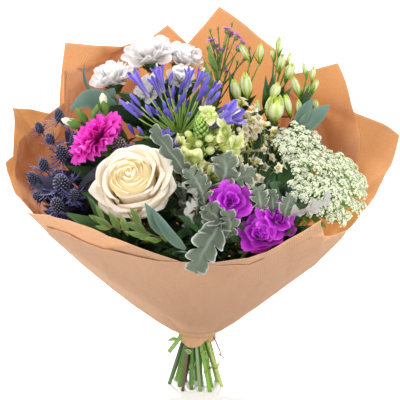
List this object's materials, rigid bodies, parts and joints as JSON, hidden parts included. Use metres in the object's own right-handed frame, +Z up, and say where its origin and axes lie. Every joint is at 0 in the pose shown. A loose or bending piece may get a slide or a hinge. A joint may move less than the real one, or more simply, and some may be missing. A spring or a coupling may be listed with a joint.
{
  "type": "mixed flower bouquet",
  "caption": "Hand-tied bunch of mixed cut flowers and foliage, standing on its splayed stem ends inside a flared kraft paper wrap with a pointed rim",
  "frame": {"origin": "centre of the cut end of the middle stem of the bundle, on the surface that the stems stand on", "axes": "+Z up along the bundle of stems; the front of the bouquet, where the paper is lowest, faces -Y; +X to the right seen from the front"},
  "size_m": [0.4326, 0.3331, 0.4],
  "materials": {
    "kraft_paper": "matte",
    "string": "matte",
    "green_stem": "satin",
    "dark_stem": "satin",
    "rose_petal": "satin",
    "pink_petal": "satin",
    "purple_petal": "satin",
    "white_petal": "satin",
    "blue_petal": "satin",
    "lace_petal": "matte",
    "spray_green": "satin",
    "felt_leaf": "matte",
    "waxy_leaf": "satin"
  },
  "bodies": {
    "root": {"agapanthus_stem": "green_stem", "agapanthus_umbel": "blue_petal", "alstroemeria_1": "spray_green", "alstroemeria_2": "spray_green", "alstroemeria_3": "spray_green", "ammi_1": "lace_petal", "ammi_2": "lace_petal", "ammi_3": "lace_petal", "aster_spray": "dark_stem", "binding_string": "string", "chrysanthemum_bloom_1": "white_petal", "chrysanthemum_bloom_2": "white_petal", "chrysanthemum_bloom_3": "white_petal", "chrysanthemum_bloom_4": "white_petal", "chrysanthemum_bloom_5": "white_petal", "chrysanthemum_spray": "green_stem", "dusty_miller_leaf_1": "felt_leaf", "dusty_miller_leaf_2": "felt_leaf", "dusty_miller_leaf_3": "felt_leaf", "dusty_miller_leaf_4": "felt_leaf", "dusty_miller_leaf_5": "felt_leaf", "dusty_miller_leaf_6": "felt_leaf", "dusty_miller_leaf_7": "felt_leaf", "dusty_miller_shoot_1": "green_stem", "dusty_miller_shoot_2": "green_stem", "dusty_miller_shoot_3": "green_stem", "eryngium_spray_1": "dark_stem", "eryngium_spray_2": "dark_stem", "eryngium_spray_3": "dark_stem", "eucalyptus_leaf_1": "waxy_leaf", "eucalyptus_leaf_2": "waxy_leaf", "eucalyptus_leaf_3": "waxy_leaf", "eucalyptus_stem_1": "green_stem", "eucalyptus_stem_2": "green_stem", "eucalyptus_stem_3": "green_stem", "kraft_sheet_back": "kraft_paper", "kraft_sheet_front": "kraft_paper", "kraft_sheet_left": "kraft_paper", "kraft_sheet_outer": "kraft_paper", "kraft_sheet_right": "kraft_paper", "pink_carnation_bloom": "pink_petal", "pink_carnation_stem": "green_stem", "pistache_leaf_1": "waxy_leaf", "pistache_leaf_2": "waxy_leaf", "pistache_stem": "green_stem", "purple_carnation_bloom_1": "purple_petal", "purple_carnation_bloom_2": "purple_petal", "purple_carnation_bloom_3": "purple_petal", "purple_carnation_stem_1": "green_stem", "purple_carnation_stem_2": "green_stem", "purple_carnation_stem_3": "green_stem", "rose_bloom": "rose_petal", "rose_stem": "green_stem", "snapdragon": "spray_green", "waxflower_spray_1": "spray_green", "waxflower_spray_2": "spray_green"}
  },
  "joints": []
}
